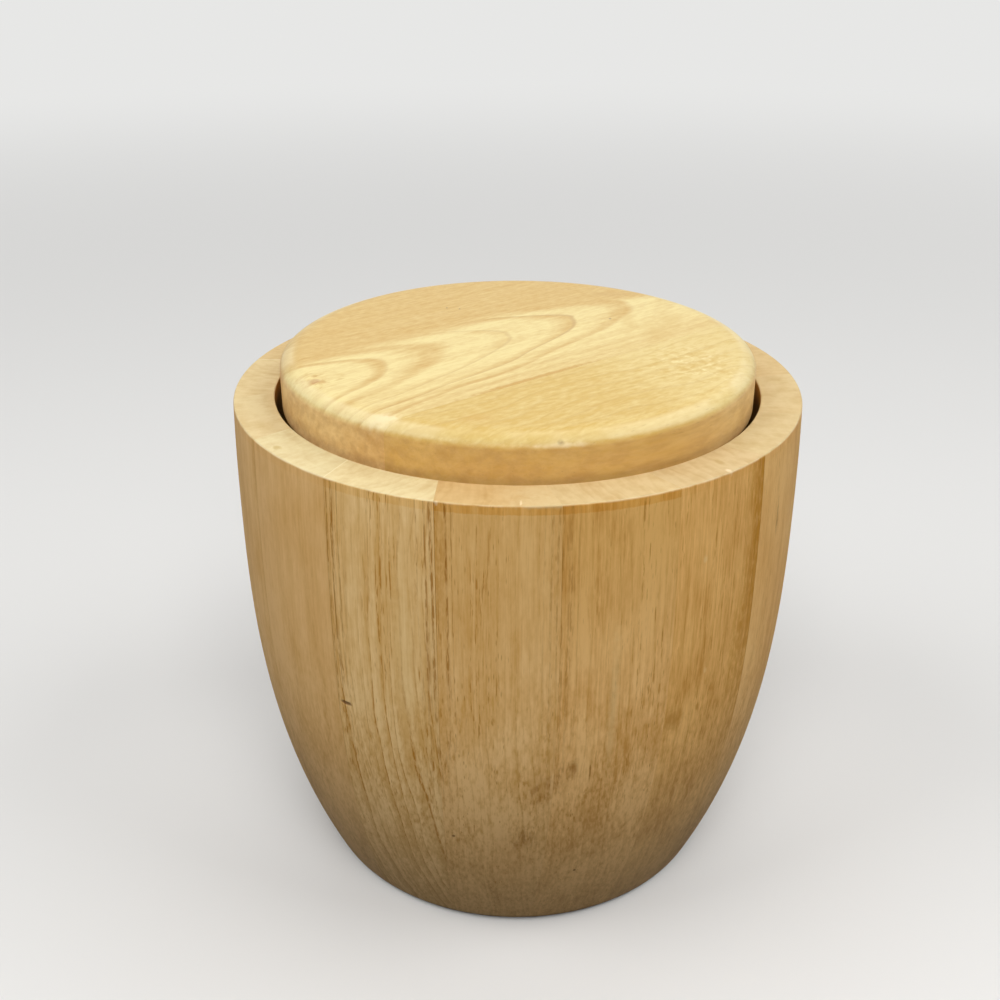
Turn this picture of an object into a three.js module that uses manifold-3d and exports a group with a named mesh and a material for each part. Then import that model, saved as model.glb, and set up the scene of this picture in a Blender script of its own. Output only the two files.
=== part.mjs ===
// A wooden ice bucket: a ring of staves turned to a belly, a base disc held in a groove of the staves,
// a loose steel liner that stands on the base, and a lid of two boards that rests on the liner's rim.
// Millimetres, +Z up, origin on the floor under the bucket's axis. The front faces -Y.
import * as THREE from 'three';
import { mergeVertices, toCreasedNormals } from 'three/addons/utils/BufferGeometryUtils.js';
import Module from 'manifold-3d';

const wasm = await Module();
wasm.setup();

// Turned wall of the bucket
const BUCKET_HEIGHT = 183;
const RIM_RADIUS = 100;
const BELLY_RADIUS = 100.7;
const BELLY_DROP = 33;
const FOOT_RADIUS = 74.4;
const BELLY_POWER = 2.7;
const STAVE_THICKNESS = 14.2;
const FOOT_EASE = 4;
const CHIME_EASE = 1.5;
const RIM_EASE = 0.6;

// Joints between the staves. Angles are in degrees from the front, growing towards +X.
// The staves are a little narrower than the mean at the front, by the share given, and wider at the back.
const STAVE_COUNT = 16;
const JOINT_AZIMUTH = 7.7;
const WIDTH_DRIFT = 0.034;

// Base disc and the groove that holds its tongue
const BASE_LIFT = 5;
const BASE_THICKNESS = 12;
const TONGUE_THICKNESS = 7;
const TONGUE_DEPTH = 4;

// Liner
const LINER_GAP = 4;
const LINER_WALL = 0.8;
const LINER_CORNER = 10;
const BEAD_DIAMETER = 3.2;

// Lid
const LID_GAP = 2.4;
const LID_RISE = 14.5;
const LID_DROP = 4;
const LID_EDGE_REACH = 9;
const LID_EDGE_DROP = 4.5;
const LID_LOWER_EASE = 1;
const PLUG_DEPTH = 6;
const PLUG_CLEARANCE = 1.5;
const PLUG_EASE = 1;
const LID_GRAIN_ANGLE = 39;
const LID_JOINT_OFFSET = 31;

// Gap left between pieces that touch
const SEAT_GAP = 0.3;

// Fineness of the faceted forms
const RING_SEGMENTS = 64;
const WALL_STEPS = 10;
const CAVITY_STEPS = 6;
const STEP_CROWDING = 1.4;
const EASE_STEPS = 3;
const CORNER_STEPS = 5;
const BEAD_STEPS = 7;

const WOOD = { color: 0xe3bd80, roughness: 0.5, metalness: 0 };
const STEEL = { color: 0xc9cacb, roughness: 0.28, metalness: 1 };

const at = (r, z) => new THREE.Vector2(r, z);
const radians = THREE.MathUtils.degToRad;

// Plan direction at an angle from the front
const radial = (angle) => new THREE.Vector2(Math.sin(angle), -Math.cos(angle));

// Outer radius of the turned wall at a height above the floor
function wallRadius(z) {
  const bellyHeight = BUCKET_HEIGHT - BELLY_DROP;
  if (z < bellyHeight) {
    const below = (bellyHeight - z) / bellyHeight;
    return BELLY_RADIUS - (BELLY_RADIUS - FOOT_RADIUS) * below ** BELLY_POWER;
  }
  const above = (z - bellyHeight) / BELLY_DROP;
  return BELLY_RADIUS - (BELLY_RADIUS - RIM_RADIUS) * above ** 2;
}

const cavityRadius = (z) => wallRadius(z) - STAVE_THICKNESS;

// Points along a wall between two heights, closer together towards the foot where it curves most
function wallPoints(radiusAt, from, to, steps) {
  const points = [];
  for (let step = 0; step <= steps; step += 1) {
    const z = from + (to - from) * (step / steps) ** STEP_CROWDING;
    points.push(at(radiusAt(z), z));
  }
  return points;
}

// A rounded corner as a curve from one side to the other
const eased = (from, corner, to) => new THREE.QuadraticBezierCurve(from, corner, to).getPoints(EASE_STEPS);

// The rounded lower edge of a turned disc
const lowerEdge = (r, z, ease) => eased(at(r - ease, z), at(r, z), at(r, z + ease));

// The upper edge of a turned disc, rolled over gently from the top and tighter towards the side
const rolledEdge = (r, z, reach, drop) => new THREE.EllipseCurve(
  r - reach, z - drop, reach, drop, 0, Math.PI / 2,
).getPoints(CORNER_STEPS);

// A turned solid about the Z axis from a profile of radius and height
function turned(profile) {
  return new THREE.LatheGeometry(profile, RING_SEGMENTS).rotateX(Math.PI / 2);
}

// A closed geometry as a solid that can be cut
function solid(geometry) {
  geometry.deleteAttribute('normal');
  geometry.deleteAttribute('uv');
  const merged = mergeVertices(geometry);
  return new wasm.Manifold(new wasm.Mesh({
    numProp: 3,
    vertProperties: new Float32Array(merged.attributes.position.array),
    triVerts: new Uint32Array(merged.index.array),
  }));
}

function geometryOf(body) {
  const { vertProperties, triVerts } = body.getMesh();
  const geometry = new THREE.BufferGeometry();
  geometry.setAttribute('position', new THREE.BufferAttribute(vertProperties, 3));
  geometry.setIndex(new THREE.BufferAttribute(triVerts, 1));
  return geometry;
}

function piece(name, geometry, finish) {
  const mesh = new THREE.Mesh(toCreasedNormals(geometry), new THREE.MeshStandardMaterial(finish));
  mesh.name = name;
  return mesh;
}

// Levels and radii that pieces share
const baseTop = BASE_LIFT + BASE_THICKNESS;
const tongueLow = BASE_LIFT + (BASE_THICKNESS - TONGUE_THICKNESS) / 2;
const tongueHigh = tongueLow + TONGUE_THICKNESS;
const tongueRadius = cavityRadius(tongueHigh) + TONGUE_DEPTH;
const mouthRadius = cavityRadius(BUCKET_HEIGHT);
const lidTop = BUCKET_HEIGHT + LID_RISE;
const lidUnderside = BUCKET_HEIGHT - LID_DROP;
const linerFloor = baseTop + SEAT_GAP;
const linerTop = lidUnderside - SEAT_GAP;
const linerMouth = mouthRadius - LINER_GAP - BEAD_DIAMETER;

// Section of the stave ring: up the belly, over the rim, down the cavity with the base groove, along the foot
function ringProfile() {
  const outside = wallPoints(wallRadius, FOOT_EASE, BUCKET_HEIGHT - RIM_EASE, WALL_STEPS);
  const grooveLow = tongueLow - SEAT_GAP;
  const grooveHigh = tongueHigh + SEAT_GAP;
  const grooveRadius = tongueRadius + SEAT_GAP;
  const inside = wallPoints(cavityRadius, grooveHigh, BUCKET_HEIGHT - RIM_EASE, CAVITY_STEPS).reverse();
  const profile = [
    ...eased(at(FOOT_RADIUS - FOOT_EASE, 0), at(FOOT_RADIUS, 0), outside[0]),
    ...outside.slice(1, -1),
    ...eased(outside.at(-1), at(RIM_RADIUS, BUCKET_HEIGHT), at(RIM_RADIUS - RIM_EASE, BUCKET_HEIGHT)),
    ...eased(at(mouthRadius + RIM_EASE, BUCKET_HEIGHT), at(mouthRadius, BUCKET_HEIGHT), inside[0]),
    ...inside.slice(1),
    at(grooveRadius, grooveHigh),
    at(grooveRadius, grooveLow),
    at(cavityRadius(grooveLow), grooveLow),
    at(cavityRadius(CHIME_EASE), CHIME_EASE),
    at(cavityRadius(0) + CHIME_EASE, 0),
  ];
  return [...profile, profile[0].clone()];
}

// The plan line of one joint. It leaves the rim half a pitch off the radius, because every stave has one
// edge square to its face and one edge bevelled by the whole pitch.
function jointLine(index) {
  const pitch = 2 * Math.PI / STAVE_COUNT;
  const even = index * pitch;
  const azimuth = radians(JOINT_AZIMUTH) + even - WIDTH_DRIFT * Math.sin(even);
  const slant = azimuth + pitch / 2;
  const onRim = radial(azimuth).multiplyScalar(RIM_RADIUS);
  const outward = radial(slant);
  const across = radial(slant + Math.PI / 2);
  return (along, shift) => onRim.clone().addScaledVector(outward, along).addScaledVector(across, shift);
}

// The upright wedge between two neighbouring joints
function staveWedge(index) {
  const near = jointLine(index);
  const far = jointLine(index + 1);
  const reachOut = STAVE_THICKNESS;
  const reachIn = RIM_RADIUS - cavityRadius(0) / 2;
  const glue = SEAT_GAP / 2;
  const plan = new THREE.Shape([
    near(-reachIn, glue),
    near(reachOut, glue),
    far(reachOut, -glue),
    far(-reachIn, -glue),
  ]);
  const margin = STAVE_THICKNESS;
  const wedge = new THREE.ExtrudeGeometry(plan, { depth: BUCKET_HEIGHT + 2 * margin, bevelEnabled: false });
  return wedge.translate(0, 0, -margin);
}

function staves() {
  const ring = solid(turned(ringProfile()));
  const group = new THREE.Group();
  for (let index = 0; index < STAVE_COUNT; index += 1) {
    const stave = ring.intersect(solid(staveWedge(index)));
    const name = `stave_${String(index + 1).padStart(2, '0')}`;
    group.add(piece(name, geometryOf(stave), WOOD));
  }
  return group;
}

// The base: a thick disc whose edge is thinned from both faces to a tongue
function baseDisc() {
  const lowShoulder = cavityRadius(BASE_LIFT) - SEAT_GAP;
  const highShoulder = cavityRadius(tongueHigh) - SEAT_GAP;
  return piece('base_disc', turned([
    at(0, BASE_LIFT),
    at(lowShoulder, BASE_LIFT),
    at(lowShoulder, tongueLow),
    at(tongueRadius, tongueLow),
    at(tongueRadius, tongueHigh),
    at(highShoulder, tongueHigh),
    at(highShoulder, baseTop),
    at(0, baseTop),
  ]), WOOD);
}

// The liner: a drawn cup with a rounded foot, a straight tapering wall and a rim rolled outwards
function liner() {
  const footRadius = cavityRadius(linerFloor) - LINER_GAP;
  const height = linerTop - linerFloor;
  const taper = Math.atan2(linerMouth + LINER_WALL - footRadius, height);
  const cornerCentre = at(
    footRadius + LINER_CORNER * (Math.tan(taper) - 1 / Math.cos(taper)),
    linerFloor + LINER_CORNER,
  );
  const corner = (radius) => new THREE.EllipseCurve(
    cornerCentre.x, cornerCentre.y, radius, radius, -Math.PI / 2, -taper,
  ).getPoints(CORNER_STEPS);
  const bead = BEAD_DIAMETER / 2;
  const beadStart = -Math.acos((LINER_WALL - bead) / bead);
  const rolledRim = new THREE.EllipseCurve(
    linerMouth + bead, linerTop - bead, bead, bead, beadStart, Math.PI,
  ).getPoints(BEAD_STEPS);
  return piece('liner', turned([
    at(0, linerFloor),
    ...corner(LINER_CORNER),
    ...rolledRim,
    ...corner(LINER_CORNER - LINER_WALL).reverse(),
    at(0, linerFloor + LINER_WALL),
  ]), STEEL);
}

// The lid: two boards glued along the grain, turned to a disc with a plug that drops into the liner
function lid() {
  const lidRadius = mouthRadius - LID_GAP;
  const plugRadius = linerMouth - PLUG_CLEARANCE;
  const plugLow = lidUnderside - PLUG_DEPTH;
  const disc = solid(turned([
    at(0, plugLow),
    ...lowerEdge(plugRadius, plugLow, PLUG_EASE),
    at(plugRadius, lidUnderside),
    ...lowerEdge(lidRadius, lidUnderside, LID_LOWER_EASE),
    ...rolledEdge(lidRadius, lidTop, LID_EDGE_REACH, LID_EDGE_DROP),
    at(0, lidTop),
  ]));
  const reach = 2 * lidRadius;
  const boardSide = (side) => new THREE.BoxGeometry(2 * reach, reach, 2 * lidTop)
    .translate(0, side * (reach + SEAT_GAP) / 2 - LID_JOINT_OFFSET, 0)
    .rotateZ(radians(LID_GRAIN_ANGLE));
  const group = new THREE.Group();
  group.add(piece('lid_board_wide', geometryOf(disc.intersect(solid(boardSide(1)))), WOOD));
  group.add(piece('lid_board_narrow', geometryOf(disc.intersect(solid(boardSide(-1)))), WOOD));
  return group;
}

const iceBucket = new THREE.Group();
iceBucket.add(staves(), baseDisc(), liner(), lid());

export default iceBucket;
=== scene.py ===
# Wooden ice bucket: sixteen glued staves turned to a belly, a base disc, a steel liner and a two-board lid.
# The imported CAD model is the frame. Every piece is drawn again here to the same sizes, finer, with its finish.
import math

import bpy
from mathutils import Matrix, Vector


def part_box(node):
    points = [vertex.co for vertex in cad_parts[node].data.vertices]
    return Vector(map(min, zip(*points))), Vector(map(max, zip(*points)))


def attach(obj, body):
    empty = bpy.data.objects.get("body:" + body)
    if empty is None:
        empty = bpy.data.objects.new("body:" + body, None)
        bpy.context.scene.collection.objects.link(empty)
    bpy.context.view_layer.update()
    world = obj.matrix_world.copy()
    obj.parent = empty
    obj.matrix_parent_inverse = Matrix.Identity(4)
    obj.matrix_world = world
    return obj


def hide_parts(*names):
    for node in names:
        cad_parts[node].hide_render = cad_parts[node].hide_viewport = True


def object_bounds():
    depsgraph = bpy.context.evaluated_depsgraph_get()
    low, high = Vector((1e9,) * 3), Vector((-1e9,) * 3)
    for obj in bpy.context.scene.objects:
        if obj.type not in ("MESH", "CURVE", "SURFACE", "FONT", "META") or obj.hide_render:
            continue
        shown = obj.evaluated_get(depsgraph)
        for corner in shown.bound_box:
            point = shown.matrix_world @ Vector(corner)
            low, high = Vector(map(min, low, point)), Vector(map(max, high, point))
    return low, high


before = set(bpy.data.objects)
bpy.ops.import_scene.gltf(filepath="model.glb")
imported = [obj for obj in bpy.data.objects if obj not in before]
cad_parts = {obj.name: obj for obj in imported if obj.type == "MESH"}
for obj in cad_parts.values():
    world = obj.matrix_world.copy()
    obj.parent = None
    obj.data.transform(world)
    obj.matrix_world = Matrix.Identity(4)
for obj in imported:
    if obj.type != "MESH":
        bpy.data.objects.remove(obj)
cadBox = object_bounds()
scene = bpy.context.scene
mm = 0.001
perMm = (1 / mm, 1 / mm, 1 / mm)

# Turning and cutting: points nearer than the weld are one, and edges flatter than the angle are shaded smooth

weld = 0.004 * mm
cutThreshold = 1e-7
woodAngle, steelAngle = 30, 40


def eased(start, corner, end, steps):
    # points of a rounded corner, ends included
    points = []
    for step in range(steps + 1):
        t = step / steps
        points.append(tuple((1 - t) ** 2 * a + 2 * t * (1 - t) * b + t ** 2 * c
                            for a, b, c in zip(start, corner, end)))
    return points


def arc(centre, radius, fromAngle, toAngle, steps):
    turns = [fromAngle + (toAngle - fromAngle) * step / steps for step in range(steps + 1)]
    return [(centre[0] + radius * math.cos(turn), centre[1] + radius * math.sin(turn)) for turn in turns]


def straight(start, end, shares=(0.2, 0.4, 0.6, 0.8)):
    # points along a straight wall, ends left out
    return [tuple(a + (b - a) * share for a, b in zip(start, end)) for share in shares]


def pick(piece):
    bpy.ops.object.select_all(action="DESELECT")
    bpy.context.view_layer.objects.active = piece
    piece.select_set(True)


def weldPoints():
    bpy.ops.mesh.select_all(action="SELECT")
    bpy.ops.mesh.remove_doubles(threshold=weld)


def leaveMesh():
    bpy.ops.mesh.select_all(action="SELECT")
    bpy.ops.mesh.normals_make_consistent(inside=False)
    bpy.ops.object.mode_set(mode="OBJECT")


def turnPiece(name, section, steps):
    # a section of (radius, height) points in mm, drawn out edge by edge and spun about the axis
    bpy.ops.object.select_all(action="DESELECT")
    bpy.ops.mesh.primitive_plane_add(size=mm, location=(0, 0, 0))
    piece = bpy.context.object
    piece.name = piece.data.name = name
    bpy.ops.object.mode_set(mode="EDIT")
    bpy.ops.mesh.select_all(action="SELECT")
    bpy.ops.mesh.merge(type="CENTER")
    bpy.ops.transform.translate(value=(section[0][0] * mm, 0, section[0][1] * mm))
    for (fromRadius, fromHeight), (toRadius, toHeight) in zip(section, section[1:]):
        stride = Vector((toRadius - fromRadius, 0, toHeight - fromHeight)) * mm
        bpy.ops.mesh.extrude_region_move(TRANSFORM_OT_translate={"value": stride})
    weldPoints()
    bpy.ops.mesh.spin(steps=steps, angle=2 * math.pi, center=(0, 0, 0), axis=(0, 0, 1))
    weldPoints()
    leaveMesh()
    return piece


def copyPiece(pattern, name):
    piece = pattern.copy()
    piece.data = pattern.data.copy()
    piece.name = piece.data.name = name
    bpy.context.collection.objects.link(piece)
    return piece


def cutPiece(piece, planes):
    # each plane is a point and the direction of the side that is sawn away
    pick(piece)
    bpy.ops.object.mode_set(mode="EDIT")
    for point, away in planes:
        bpy.ops.mesh.select_all(action="SELECT")
        bpy.ops.mesh.bisect(plane_co=point, plane_no=away, use_fill=True, clear_outer=True, threshold=cutThreshold)
    leaveMesh()


def smoothPiece(piece, degrees):
    pick(piece)
    bpy.ops.object.shade_smooth_by_angle(angle=math.radians(degrees))


def seatPiece(piece, body, node, material):
    piece.data.materials.clear()
    piece.data.materials.append(material)
    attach(piece, body)
    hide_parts(node)


# Nodes


def wire(tree, sockets, values):
    # each value is another node's socket or a plain setting
    for name, value in values.items():
        if isinstance(value, bpy.types.NodeSocket):
            tree.links.new(value, sockets[name])
        else:
            sockets[name].default_value = value


def put(tree, kind, values=None, **settings):
    made = tree.nodes.new("ShaderNode" + kind)
    for setting, value in settings.items():
        setattr(made, setting, value)
    wire(tree, made.inputs, values or {})
    return made


def use(tree, group, values):
    return put(tree, "Group", values, node_tree=group).outputs


def calc(tree, operation, *values):
    return put(tree, "Math", dict(enumerate(values)), operation=operation).outputs[0]


def times(tree, first, *others):
    for other in others:
        first = calc(tree, "MULTIPLY", first, other)
    return first


def scaled(tree, value, amount, onto):
    return calc(tree, "MULTIPLY_ADD", value, amount, onto)


def swing(tree, value, amount, onto):
    # a value that lies round a half, added to both sides
    return scaled(tree, calc(tree, "SUBTRACT", value, 0.5), amount, onto)


def vectorCalc(tree, operation, *values):
    return put(tree, "VectorMath", dict(enumerate(values)), operation=operation).outputs[0]


def stretch(tree, place, scale):
    return vectorCalc(tree, "MULTIPLY", place, scale)


def lengthOf(tree, vector):
    return put(tree, "VectorMath", {0: vector}, operation="LENGTH").outputs["Value"]


def split(tree, vector):
    return put(tree, "SeparateXYZ", {0: vector}).outputs


def objectSpot(tree):
    return put(tree, "TexCoord").outputs["Object"]


def mapped(tree, spot, turn, shift=(0, 0, 0)):
    # from metres in the part's frame to mm, turned and moved
    return put(tree, "Mapping", {"Vector": spot, "Location": shift, "Rotation": turn, "Scale": perMm}).outputs[0]


def fade(tree, value, low, high, toLow=0, toHigh=1):
    return put(tree, "MapRange", {"Value": value, "From Min": low, "From Max": high, "To Min": toLow,
                                  "To Max": toHigh}, interpolation_type="SMOOTHSTEP").outputs[0]


def blend(tree, amount, under, over, kind="MIX"):
    return put(tree, "Mix", {0: amount, 6: under, 7: over}, data_type="RGBA", blend_type=kind).outputs[2]


def noise(tree, place, scale, detail=2, roughness=0.5):
    return put(tree, "TexNoise", {"Vector": place, "Scale": scale, "Detail": detail,
                                  "Roughness": roughness}).outputs[0]


def lineNoise(tree, at, detail):
    return put(tree, "TexNoise", {"W": at, "Scale": 1, "Detail": detail}, noise_dimensions="1D").outputs[0]


def startGroup(name, takes, gives):
    # takes and gives hold the names of sockets by kind
    group = bpy.data.node_groups.new(name, "ShaderNodeTree")
    kinds = {"value": "NodeSocketFloat", "colour": "NodeSocketColor", "vector": "NodeSocketVector"}
    for way, sockets in (("INPUT", takes), ("OUTPUT", gives)):
        for kind, names in sockets.items():
            for socket in names.split():
                group.interface.new_socket(socket, in_out=way, socket_type=kinds[kind])
    return group, group.nodes.new("NodeGroupInput").outputs, group.nodes.new("NodeGroupOutput").inputs


def startMaterial(name):
    material = bpy.data.materials.new(name)
    material.use_nodes = True
    return material, material.node_tree, material.node_tree.nodes["Principled BSDF"].inputs


def finishWood(tree, shader, colour, rough, height, depth, gloss, coat):
    # satin oil over the wood
    bump = put(tree, "Bump", {"Height": height, "Strength": 0.5, "Distance": depth * mm}).outputs[0]
    wire(tree, shader, {"Base Color": colour, "Roughness": rough, "Normal": bump, "IOR": 1.45,
                        "Specular IOR Level": gloss, "Coat Weight": coat, "Coat Roughness": 0.3})


wallOil = {"depth": 0.12, "gloss": 0, "coat": 0.12}
lidOil = {"depth": 0.1, "gloss": 0.3, "coat": 0.06}

# Growth rings: a count that grows outwards from the pith gives the soft late wood and its thin dark line

ringForm = {"drift": 0.53, "faintest": 0.3, "lineFull": 0.5, "lateStart": 0.15, "latePeak": 0.86}


def makeGrowthRings():
    tree, given, gives = startGroup(
        "growthRings", {"value": "count wander seed even lineShare lateStart latePeak"}, {"value": "late line"})
    drift = lineNoise(tree, scaled(tree, given["count"], ringForm["drift"], given["seed"]), 1)
    phase = swing(tree, drift, given["wander"], given["count"])
    part = calc(tree, "FRACT", phase)
    whole = calc(tree, "ADD", calc(tree, "FLOOR", phase), given["seed"])
    strength = put(tree, "TexWhiteNoise", {"W": whole}, noise_dimensions="1D").outputs[0]
    strength = scaled(tree, strength, 1 - ringForm["faintest"], ringForm["faintest"])
    strength = calc(tree, "MAXIMUM", strength, given["even"])
    lineStart = calc(tree, "SUBTRACT", 1, given["lineShare"])
    lineFull = scaled(tree, given["lineShare"], -ringForm["lineFull"], 1)
    late = times(tree, fade(tree, part, given["lateStart"], given["latePeak"]),
                 fade(tree, part, 1, given["latePeak"]), strength)
    line = times(tree, fade(tree, part, lineStart, lineFull), fade(tree, part, 1, lineFull), strength)
    wire(tree, gives, {"late": late, "line": line})
    return tree


def plainRings(tree, count, seed, wander=1.2, lineShare=0.2):
    return use(tree, growthRings, {"count": count, "wander": wander, "seed": seed, "lineShare": lineShare,
                                   "lateStart": ringForm["lateStart"], "latePeak": ringForm["latePeak"]})


# Fibres and pores, for a place in mm with the grain along Z

alongGrain = {"long": 0.016, "medium": 0.04, "short": 0.13, "wide": 0.35}
seedShift = (31.7, 17.3, 71.1)


def makeFibres():
    tree, given, gives = startGroup("fibresAndPores", {"vector": "place", "value": "seed"},
                                    {"value": "streak fibre hair dash pore patch mottle"})
    place = vectorCalc(tree, "MULTIPLY_ADD", given["seed"], seedShift, given["place"])
    long, medium, short, wide = [stretch(tree, place, (1, 1, share)) for share in alongGrain.values()]
    # hair lines run in loose bundles and break into dashes
    bundle = fade(tree, noise(tree, long, 0.16, 1), 0.42, 0.62)
    dash = fade(tree, noise(tree, short, 1.5, 2, 0.6), 0.42, 0.58)
    hair = fade(tree, noise(tree, medium, 1.3, 1), 0.56, 0.7)
    # pores crowd in places, and some are faint
    cells = put(tree, "TexVoronoi", {"Vector": short, "Scale": 1.3}, feature="F1").outputs
    chosen = put(tree, "SeparateColor", {"Color": cells["Color"]}).outputs[0]
    crowd = fade(tree, noise(tree, long, 0.11), 0.38, 0.6, 0.25)
    pore = times(tree, fade(tree, cells["Distance"], 0.28, 0.08), crowd, fade(tree, chosen, 0.2, 0.9))
    wire(tree, gives, {
        "streak": noise(tree, long, 0.32, 3, 0.6), "fibre": noise(tree, medium, 1.5, 2, 0.6),
        "hair": times(tree, hair, bundle, dash), "dash": dash, "pore": pore,
        "patch": noise(tree, wide, 0.05, 2, 0.6), "mottle": noise(tree, wide, 0.75, 2, 0.6)})
    return tree


# A single stain, dent or pale spot, soft and ragged towards its edge; the same mask also draws a painted highlight
# on the lid and a painted shade on the rim


def makeMark():
    tree, given, gives = startGroup("mark", {"vector": "place centre size", "value": "edge flecks"},
                                    {"value": "mask"})
    place = given["place"]
    away = vectorCalc(tree, "DIVIDE", vectorCalc(tree, "SUBTRACT", place, given["centre"]), given["size"])
    reach = swing(tree, noise(tree, place, 0.5, 3), 0.9, lengthOf(tree, away))
    mask = fade(tree, reach, 1, calc(tree, "SUBTRACT", 1, given["edge"]))
    fleck = fade(tree, noise(tree, stretch(tree, place, (1, 1, 0.22)), 0.85), 0.42, 0.64)
    fleck = scaled(tree, calc(tree, "SUBTRACT", fleck, 1), given["flecks"], 1)
    wire(tree, gives, {"mask": times(tree, mask, fleck)})
    return tree


growthRings = makeGrowthRings()
fibresAndPores = makeFibres()
mark = makeMark()


def spotAt(centre, size, edge, strength, colour=None, flecks=0, depth=0):
    return {"centre": centre, "size": size, "edge": edge, "strength": strength, "colour": colour,
            "flecks": flecks, "depth": depth}


def wallSpot(across, up, width, height, *finish, thick=60, **more):
    # on a stave's outside, and thick enough to follow the belly
    return spotAt((across, 0, up), (width, thick, height), *finish, **more)


def markMask(tree, place, spot):
    values = {name: spot[name] for name in ("centre", "size", "edge", "flecks")}
    return times(tree, use(tree, mark, dict(values, place=place))[0], spot["strength"])


# Stave wood, for a place in mm in the stave's own frame: X across, Y inwards from the rim, Z up

staveSockets = {
    "vector": "place spot pith lean",
    "colour": "pale deep ringColour poreColour endGrain edgeBand stripColour",
    "value": "seed nearSeam farSeam inside rimHeight ringWidth rings pores hairs mottle honey band grime "
             "rimLine nearLine nearLines farLines nearStrip farStrip nearWidth farWidth",
}
staveFinish = dict(
    # the inside tint is a painted shade on the inside wall
    honeyTint=(0.85, 0.8, 0.64, 1), insideShade=(0.6, 0.56, 0.5, 1), endTint=(0.84, 0.75, 0.64, 1),
    # the two foot colours are painted shade towards the foot
    footShadePale=(0.64, 0.405, 0.18, 1), footShadeDeep=(0.45, 0.28, 0.12, 1),
    # the rubbed colour is partly wear and partly a painted highlight on the rim's arrises
    rimGlue=(0.84, 0.74, 0.48, 1), wearAndSheen=(0.88, 0.73, 0.47, 1),
    # heights between which an effect comes in
    lower=(140, 60), ringsShow=(150, 70), flecksShow=(10, 50), upper=(45, 150),
    footShadeShows=(110, 6),
    # the same, as depths under the rim
    rimTop=(0.45, 0.1), honeyShows=(80, 3), bandShows=(3.7, 3.2), wearAndSheenEnd=(0.75, 0.4),
    wearAndSheenStart=(0.02, 0.12),
    # distances from a joint
    glue=(0.42, 0.12), rimGlueWidth=(0.6, 0.2), linesShow=(8.5, 1.5), lineStep=2.3,
    # how much each part of the wood sways the tone between pale and deep
    startTone=0.34, cloud=1.5, sway=dict(streak=1.2, fibre=1.2, patch=1), late=0.5,
)


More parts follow.
